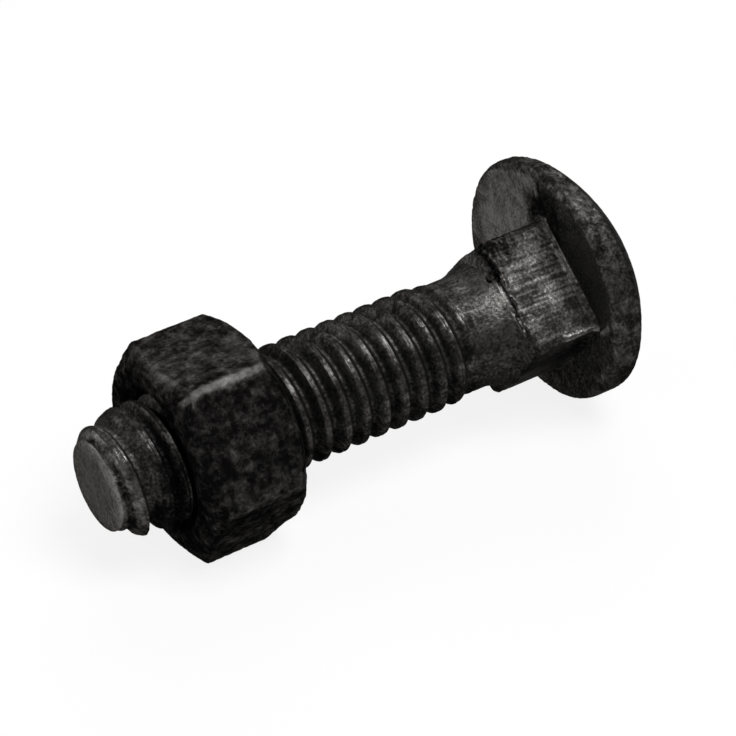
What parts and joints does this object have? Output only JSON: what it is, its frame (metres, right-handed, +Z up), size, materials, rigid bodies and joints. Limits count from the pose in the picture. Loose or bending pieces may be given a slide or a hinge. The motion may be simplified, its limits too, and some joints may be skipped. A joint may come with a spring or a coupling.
{
  "type": "carriage bolt",
  "caption": "Worn, blackened steel carriage bolt with a mushroom head, square neck and coarse right-hand thread, lying at rest with a hexagon nut run on near its tip.",
  "frame": {"origin": "on the level surface that the bolt lies on, under the middle of its bounding box", "axes": "+Z up; the tip points to -X and the head to +X, with the bolt's axis raised towards the head by 2.27 degrees"},
  "size_m": [0.038, 0.0164, 0.0164],
  "materials": {
    "worn_black_steel": "blackened forged steel, worn to grey metal on crests and neck",
    "scaled_black_steel": "blackened steel with pitted scale, rubbed bright on one edge"
  },
  "bodies": {
    "root": {"carriage_bolt": "worn_black_steel", "hex_nut": "scaled_black_steel"}
  },
  "joints": []
}
